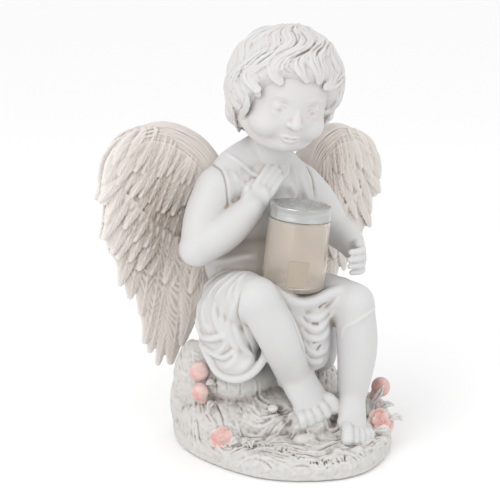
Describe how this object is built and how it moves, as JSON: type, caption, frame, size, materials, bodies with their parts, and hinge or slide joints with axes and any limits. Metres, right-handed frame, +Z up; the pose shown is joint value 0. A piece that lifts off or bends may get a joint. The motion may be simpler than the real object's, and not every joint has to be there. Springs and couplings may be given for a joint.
{
  "type": "angel garden statue",
  "caption": "Seated winged cherub garden statue on a grassy oval base, holding a lidded glass jar in its lap.",
  "frame": {"origin": "middle of the base's flat underside, on the ground", "axes": "+Z up; the cherub faces -Y and its left side is +X"},
  "size_m": [0.304, 0.2098, 0.355],
  "materials": {
    "painted_resin": "white painted cast resin with a grey-beige wash in the recesses",
    "clear_glass": "clear glass",
    "brushed_tin": "satin top and brushed side",
    "label_paper": "small blank pale label"
  },
  "bodies": {
    "root": {"cherub_casting": "painted_resin", "jar": "clear_glass", "jar_lid": "brushed_tin", "jar_label": "label_paper"}
  },
  "joints": []
}
